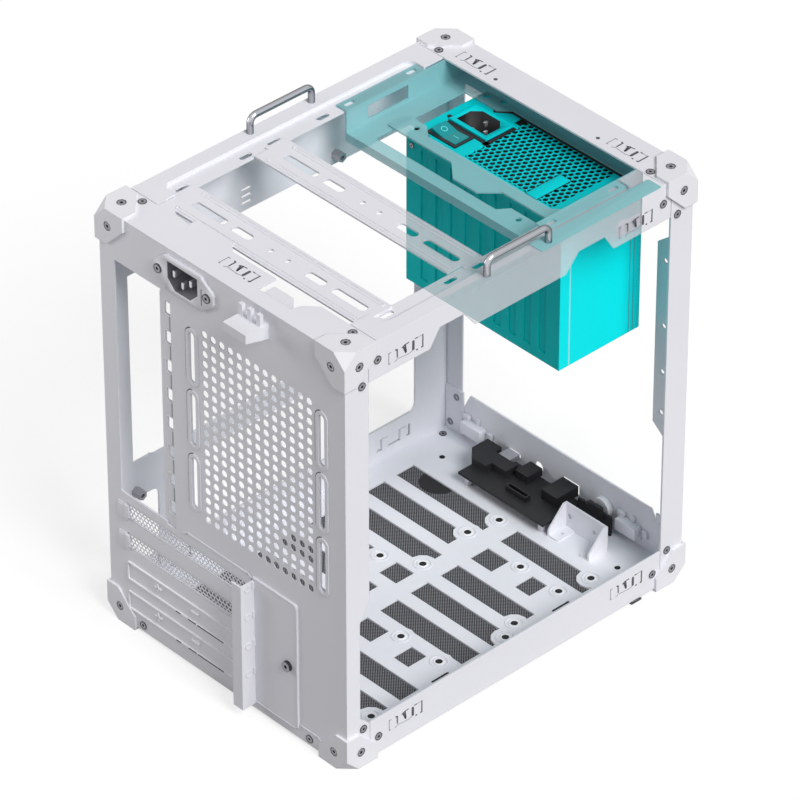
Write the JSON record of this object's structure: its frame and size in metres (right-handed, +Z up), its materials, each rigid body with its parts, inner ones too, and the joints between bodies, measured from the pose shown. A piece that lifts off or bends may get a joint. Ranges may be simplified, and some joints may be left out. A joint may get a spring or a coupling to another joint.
{
  "type": "open frame computer case",
  "caption": "Small open-frame computer case with carry handles, slotted floor, vented rear panel and a hung power supply.",
  "frame": {"origin": "on the standing surface, under the middle of the eight corner caps", "axes": "+Z up, -Y out of the rear panel, +X out of the open side"},
  "size_m": [0.203, 0.2823, 0.297],
  "materials": {
    "white_paint": "fine matt powder coat",
    "cap_white": "fine matt powder coat",
    "clip_white": "moulded, satin",
    "inlet_grey": "moulded, satin",
    "dark_steel": "black zinc",
    "chrome": "polished",
    "bright_pin": "plated blades",
    "black_board": "solder mask",
    "black_plastic": "moulded",
    "bracket_teal": "pale teal paint",
    "unit_teal": "teal paint",
    "rocker_teal": "gloss moulded",
    "filter_mesh": "woven nylon",
    "foot_rubber": "matt rubber"
  },
  "bodies": {
    "root": {"corner_cap_top_front_right": "cap_white", "corner_cap_top_front_left": "cap_white", "corner_cap_top_rear_right": "cap_white", "corner_cap_top_rear_left": "cap_white", "corner_cap_bottom_front_right": "cap_white", "corner_cap_bottom_front_left": "cap_white", "corner_cap_bottom_rear_right": "cap_white", "corner_cap_bottom_rear_left": "cap_white", "cap_screws": "dark_steel", "rear_panel": "white_paint", "slot_cover_1": "white_paint", "slot_cover_2": "white_paint", "slot_cover_3": "white_paint", "slot_cover_4": "white_paint", "slot_clamp": "white_paint", "clamp_screw": "dark_steel", "rear_inlet": "inlet_grey", "rear_inlet_pins": "bright_pin", "rear_inlet_screws": "dark_steel", "rear_clip": "clip_white", "top_rail_right": "white_paint", "top_rail_left": "white_paint", "front_top_beam": "white_paint", "front_post_right": "white_paint", "front_post_left": "white_paint", "handle_right": "chrome", "handle_left": "chrome", "frame_screws": "dark_steel", "floor_tray": "white_paint", "floor_filter": "filter_mesh", "feet": "foot_rubber", "board_wall": "white_paint", "board_standoffs": "dark_steel", "fan_rail_1": "white_paint", "fan_rail_2": "white_paint", "psu_bracket": "bracket_teal", "psu_adapter": "bracket_teal", "psu_housing": "unit_teal", "psu_inlet": "unit_teal", "psu_inlet_pins": "bright_pin", "psu_switch_frame": "black_plastic", "psu_fan_grille": "unit_teal", "io_board": "black_board", "board_posts": "bright_pin", "usb_socket": "black_plastic", "usb_small_socket": "bright_pin", "audio_jack": "black_plastic", "board_header": "black_plastic", "button_board": "black_board", "board_bracket": "white_paint", "corner_gussets": "white_paint", "panel_clips": "clip_white"},
    "power_button": {"power_button": "clip_white"},
    "psu_rocker": {"psu_rocker": "rocker_teal"},
    "psu_fan": {"psu_fan_rotor": "black_plastic"}
  },
  "joints": [
    {"name": "button_press", "type": "slide", "parent": "root", "child": "power_button", "axis": [0, -1, 0], "range_m": [0, 0.001], "stiffness_N_per_m": 400},
    {"name": "rocker_flip", "type": "hinge", "parent": "root", "child": "psu_rocker", "pos_m": [-0.036, 0.0745, 0.2668], "axis": [0, 1, 0], "range_deg": [-12, 0]},
    {"name": "fan_spin", "type": "hinge", "parent": "root", "child": "psu_fan", "pos_m": [0.0075, 0.1055, 0.2168], "axis": [0, 1, 0], "continuous": true}
  ]
}
